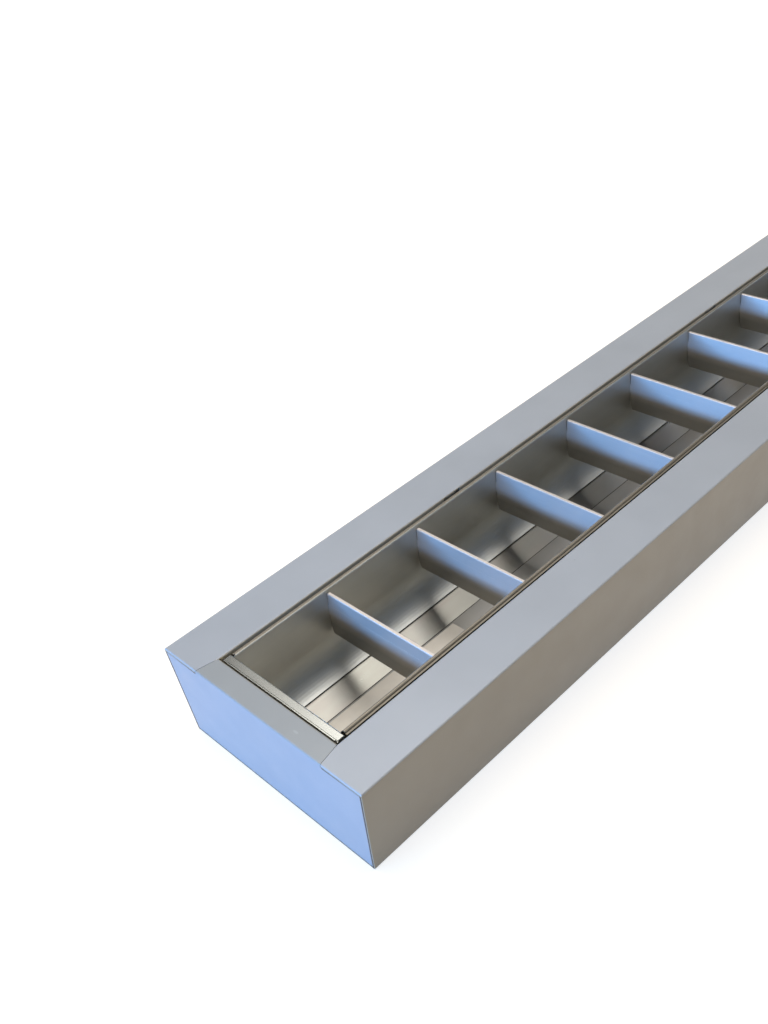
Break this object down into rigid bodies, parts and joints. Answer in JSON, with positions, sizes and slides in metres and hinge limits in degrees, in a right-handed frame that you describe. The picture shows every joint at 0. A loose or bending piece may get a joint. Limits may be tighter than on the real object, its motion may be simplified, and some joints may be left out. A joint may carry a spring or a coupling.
{
  "type": "fluorescent batten light",
  "caption": "Surface-mounted fluorescent ceiling light: painted sheet-steel housing with a hinged louvre of folded cross blades between curved side reflectors, over one straight tube.",
  "frame": {"origin": "centre of the ceiling face, midway between both ends and both sides", "axes": "+X runs along the fitting from the near end to the far end, +Y to the side with the louvre hinge, +Z out of the light opening; the part lies on its ceiling face"},
  "size_m": [1.26, 0.1998, 0.08],
  "materials": {
    "painted_steel": "semi-gloss silver-grey powder coat",
    "satin_aluminium": "satin rolled sheet",
    "bright_aluminium": "semi-bright anodised sheet",
    "zinc_steel": "zinc plated",
    "spring_steel": "bright spring steel",
    "white_plastic": "moulded, satin",
    "label_film": "plain satin film",
    "core_steel": "dull varnish on sheet steel",
    "rubber": "matt black",
    "brass": "plain turned",
    "wire_grey": "satin sleeve",
    "wire_white": "satin sleeve",
    "wire_blue": "satin sleeve",
    "wire_brown": "satin sleeve",
    "wire_green": "satin sleeve"
  },
  "bodies": {
    "housing": {"housing_tray": "painted_steel", "end_cap_near": "painted_steel", "end_cap_far": "painted_steel", "centre_reflector": "satin_aluminium", "centre_strip": "satin_aluminium", "end_cap_rivets": "zinc_steel", "reflector_screws": "zinc_steel", "holder_bracket_near": "zinc_steel", "holder_bracket_far": "zinc_steel", "ballast_screws": "zinc_steel", "terminal_screws": "zinc_steel", "hinge_brackets": "zinc_steel", "catch_plates": "zinc_steel", "hinge_pins": "spring_steel", "lampholder_near": "white_plastic", "lampholder_far": "white_plastic", "ballast_terminal": "white_plastic", "starter_holder": "white_plastic", "terminal_block": "white_plastic", "rating_label": "label_film", "ballast": "core_steel", "cable_grommet": "rubber", "earth_screw": "brass", "wire_ballast": "wire_grey", "wire_starter_near": "wire_white", "wire_starter_far": "wire_white", "wire_neutral": "wire_blue", "wire_live": "wire_brown", "wire_earth": "wire_green"},
    "louvre": {"hinge_arms": "zinc_steel", "catch_strikes": "spring_steel", "side_reflector_left": "satin_aluminium", "side_reflector_right": "satin_aluminium", "end_bar_near": "bright_aluminium", "end_bar_far": "bright_aluminium", "cross_blade_1": "bright_aluminium", "cross_blade_2": "bright_aluminium", "cross_blade_3": "bright_aluminium", "cross_blade_4": "bright_aluminium", "cross_blade_5": "bright_aluminium", "cross_blade_6": "bright_aluminium", "cross_blade_7": "bright_aluminium", "cross_blade_8": "bright_aluminium", "cross_blade_9": "bright_aluminium", "cross_blade_10": "bright_aluminium", "cross_blade_11": "bright_aluminium", "cross_blade_12": "bright_aluminium"},
    "rotor_near": {"rotor_near": "white_plastic"},
    "rotor_far": {"rotor_far": "white_plastic"},
    "starter": {"starter": "white_plastic"},
    "catch_near": {"catch_near": "spring_steel"},
    "catch_far": {"catch_far": "spring_steel"}
  },
  "joints": [
    {"name": "louvre_hinge", "type": "hinge", "parent": "housing", "child": "louvre", "pos_m": [0, 0.062, 0.0768], "axis": [-1, 0, 0], "range_deg": [0, 90]},
    {"name": "near_rotor_turn", "type": "hinge", "parent": "housing", "child": "rotor_near", "pos_m": [-0.6, 0, 0.023], "axis": [1, 0, 0], "range_deg": [0, 90]},
    {"name": "far_rotor_turn", "type": "hinge", "parent": "housing", "child": "rotor_far", "pos_m": [0.6, 0, 0.023], "axis": [1, 0, 0], "range_deg": [0, 90]},
    {"name": "starter_twist", "type": "hinge", "parent": "housing", "child": "starter", "pos_m": [0.06, 0.0718, 0.01555], "axis": [1, 0, 0], "range_deg": [0, 45]},
    {"name": "near_catch_flex", "type": "hinge", "parent": "housing", "child": "catch_near", "pos_m": [-0.376, -0.0632, 0.0789], "axis": [-1, 0, 0], "range_deg": [0, 8], "stiffness_Nm_per_rad": 0.5},
    {"name": "far_catch_flex", "type": "hinge", "parent": "housing", "child": "catch_far", "pos_m": [0.376, -0.0632, 0.0789], "axis": [-1, 0, 0], "range_deg": [0, 8], "stiffness_Nm_per_rad": 0.5}
  ]
}
